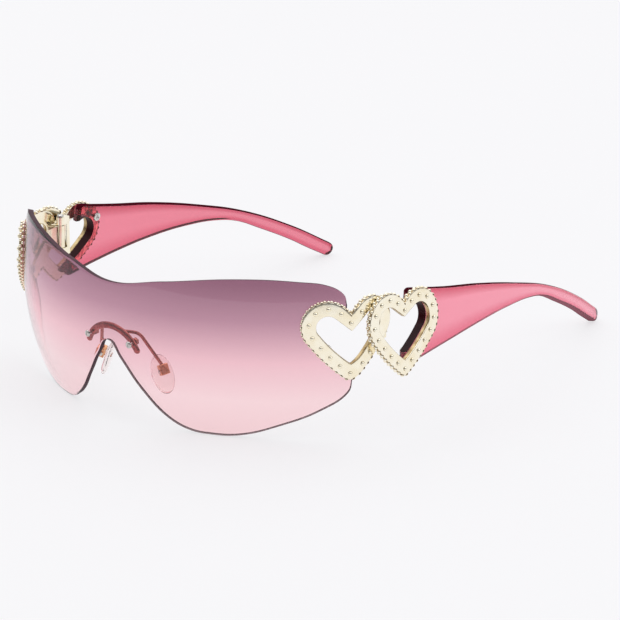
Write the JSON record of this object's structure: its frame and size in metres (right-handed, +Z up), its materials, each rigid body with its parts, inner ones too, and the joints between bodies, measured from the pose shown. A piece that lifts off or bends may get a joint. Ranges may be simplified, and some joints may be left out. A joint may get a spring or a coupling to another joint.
{
  "type": "wrap shield sunglasses",
  "caption": "Rimless wrap sunglasses with a tinted shield lens, linked studded gold hearts as hinges at the sides, folding pink temples and rocking nose pads.",
  "frame": {"origin": "on the surface the glasses rest on, midway across and midway between the lens front and the temple tips", "axes": "+X to the wearer's left, +Y from the lens back to the temple tips, +Z up"},
  "size_m": [0.1556, 0.1851, 0.0539],
  "materials": {
    "lens_tint": "clear polycarbonate tinted from mauve at the top to pink at the bottom",
    "wire_gold": "polished rose-gold plating",
    "heart_gold": "pale champagne-gold plating on a casting, satin",
    "pad_clear": "clear soft silicone",
    "washer_clear": "clear plastic",
    "screw_steel": "polished steel",
    "temple_pink": "clear pink moulding, polished"
  },
  "bodies": {
    "front": {"shield_lens": "lens_tint", "bridge_bar": "wire_gold", "bridge_screws": "screw_steel", "bridge_nuts": "wire_gold", "nose_pad_arm_left": "wire_gold", "nose_pad_arm_right": "wire_gold", "pad_screw_left": "screw_steel", "pad_screw_right": "screw_steel", "front_heart_left": "heart_gold", "front_heart_right": "heart_gold", "heart_screws_left": "screw_steel", "heart_screws_right": "screw_steel", "heart_washers_left": "washer_clear", "heart_washers_right": "washer_clear", "hinge_screw_left": "screw_steel", "hinge_screw_right": "screw_steel"},
    "temple_left": {"temple_left": "temple_pink", "rear_heart_left": "heart_gold", "temple_rivets_left": "screw_steel"},
    "temple_right": {"temple_right": "temple_pink", "rear_heart_right": "heart_gold", "temple_rivets_right": "screw_steel"},
    "nose_pad_left": {"nose_pad_left": "pad_clear"},
    "nose_pad_right": {"nose_pad_right": "pad_clear"}
  },
  "joints": [
    {"name": "temple_left_fold", "type": "hinge", "parent": "front", "child": "temple_left", "pos_m": [0.06892, -0.04153, 0.037], "axis": [0, 0, 1], "range_deg": [0, 90]},
    {"name": "temple_right_fold", "type": "hinge", "parent": "front", "child": "temple_right", "pos_m": [-0.06892, -0.04153, 0.037], "axis": [0, 0, -1], "range_deg": [0, 80]},
    {"name": "nose_pad_left_rock", "type": "hinge", "parent": "front", "child": "nose_pad_left", "pos_m": [0.0138, -0.08055, 0.0182], "axis": [-0.4293, -0.8827, -0.1911], "range_deg": [-7, 7]},
    {"name": "nose_pad_right_rock", "type": "hinge", "parent": "front", "child": "nose_pad_right", "pos_m": [-0.0138, -0.08055, 0.0182], "axis": [0.4293, -0.8827, -0.1911], "range_deg": [-7, 7]}
  ]
}
